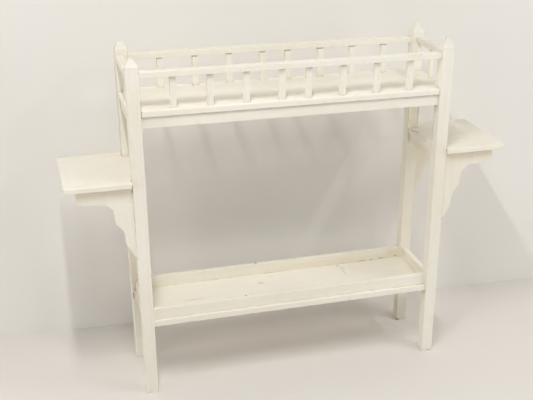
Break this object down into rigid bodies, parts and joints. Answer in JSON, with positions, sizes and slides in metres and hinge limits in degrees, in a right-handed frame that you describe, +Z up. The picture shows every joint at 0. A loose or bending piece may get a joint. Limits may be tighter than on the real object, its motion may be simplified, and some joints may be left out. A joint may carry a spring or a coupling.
{
  "type": "plant stand",
  "caption": "Long painted wooden plant stand: two trays one above the other, a baluster gallery round the upper tray and a bracketed side shelf at each end.",
  "frame": {"origin": "on the floor, under the middle of the stand", "axes": "+X along the stand towards its right end, +Y towards its back, +Z up; the front faces -Y"},
  "size_m": [1.396, 0.293, 1.0946],
  "materials": {
    "cream_paint": "brushed cream-white paint on softwood, satin, worn and chipped along the edges",
    "board_paint": "the same paint on the broad boards of both trays, with knots, stains and scuffs",
    "painted_nail": "nail heads set flush and painted over",
    "dowel_wood": "bare beech, hidden in the joints"
  },
  "bodies": {
    "root": {"post_front_left": "cream_paint", "post_back_left": "cream_paint", "post_front_right": "cream_paint", "post_back_right": "cream_paint", "upper_apron_front": "cream_paint", "upper_apron_back": "cream_paint", "upper_apron_left": "cream_paint", "upper_apron_right": "cream_paint", "gallery_rail_front": "cream_paint", "gallery_rail_back": "cream_paint", "gallery_rail_left": "cream_paint", "gallery_rail_right": "cream_paint", "baluster_front_1": "cream_paint", "baluster_front_2": "cream_paint", "baluster_front_3": "cream_paint", "baluster_front_4": "cream_paint", "baluster_front_5": "cream_paint", "baluster_front_6": "cream_paint", "baluster_front_7": "cream_paint", "baluster_front_8": "cream_paint", "baluster_back_1": "cream_paint", "baluster_back_2": "cream_paint", "baluster_back_3": "cream_paint", "baluster_back_4": "cream_paint", "baluster_back_5": "cream_paint", "baluster_back_6": "cream_paint", "baluster_back_7": "cream_paint", "baluster_back_8": "cream_paint", "baluster_left": "cream_paint", "baluster_right": "cream_paint", "cross_rail_left": "cream_paint", "cross_rail_right": "cream_paint", "side_shelf_left": "cream_paint", "side_shelf_right": "cream_paint", "bracket_front_left": "cream_paint", "bracket_back_left": "cream_paint", "bracket_front_right": "cream_paint", "bracket_back_right": "cream_paint", "lower_lip_front": "cream_paint", "lower_lip_back": "cream_paint", "lower_lip_left": "cream_paint", "lower_lip_right": "cream_paint", "upper_board": "board_paint", "lower_floor": "board_paint", "board_nails": "painted_nail", "shelf_nails": "painted_nail", "lip_nails": "painted_nail", "bracket_dowels": "dowel_wood"}
  },
  "joints": []
}
